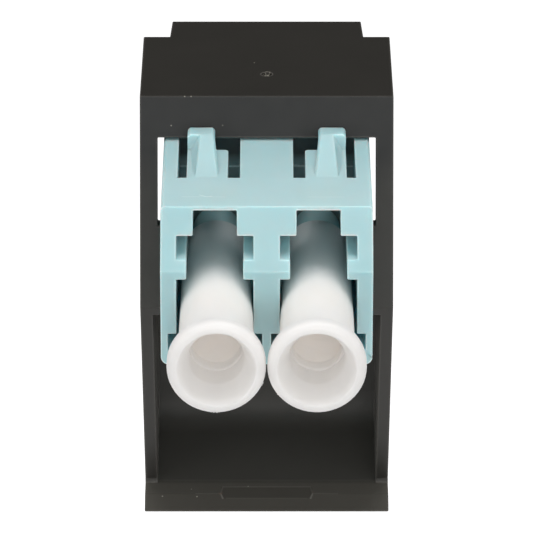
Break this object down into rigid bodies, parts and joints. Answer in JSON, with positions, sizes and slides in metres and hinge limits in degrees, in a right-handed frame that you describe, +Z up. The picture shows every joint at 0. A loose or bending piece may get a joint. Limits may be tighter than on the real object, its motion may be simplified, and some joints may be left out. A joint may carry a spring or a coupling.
{
  "type": "fibre coupler module",
  "caption": "Angled hooded snap-in housing that holds a duplex fibre adapter tipped downwards, with push-in dust plugs in its ports and a scooped recess below.",
  "frame": {"origin": "middle of the panel seat, on the plane where the hood's rear rim meets the panel", "axes": "+X to the right seen from the front, +Y into the panel, +Z up; the ports look out towards -Y and down"},
  "size_m": [0.0158, 0.0437, 0.0313],
  "materials": {
    "black_plastic": "fine satin moulded",
    "aqua_plastic": "smooth moulded",
    "zirconia": "ground ceramic",
    "white_polythene": "soft, slightly translucent"
  },
  "bodies": {
    "module": {"housing": "black_plastic", "adapter_front_body": "aqua_plastic", "adapter_rear_body": "aqua_plastic", "split_sleeve_left": "zirconia", "split_sleeve_right": "zirconia"},
    "plug_front_left": {"dust_plug_front_left": "white_polythene"},
    "plug_front_right": {"dust_plug_front_right": "white_polythene"},
    "plug_rear_left": {"dust_plug_rear_left": "white_polythene"},
    "plug_rear_right": {"dust_plug_rear_right": "white_polythene"}
  },
  "joints": [
    {"name": "plug_front_left_pull", "type": "slide", "parent": "module", "child": "plug_front_left", "axis": [0, -0.9659, -0.2588], "range_m": [0, 0.016]},
    {"name": "plug_front_right_pull", "type": "slide", "parent": "module", "child": "plug_front_right", "axis": [0, -0.9659, -0.2588], "range_m": [0, 0.016]},
    {"name": "plug_rear_left_pull", "type": "slide", "parent": "module", "child": "plug_rear_left", "axis": [0, 0.9659, 0.2588], "range_m": [0, 0.016]},
    {"name": "plug_rear_right_pull", "type": "slide", "parent": "module", "child": "plug_rear_right", "axis": [0, 0.9659, 0.2588], "range_m": [0, 0.016]}
  ]
}
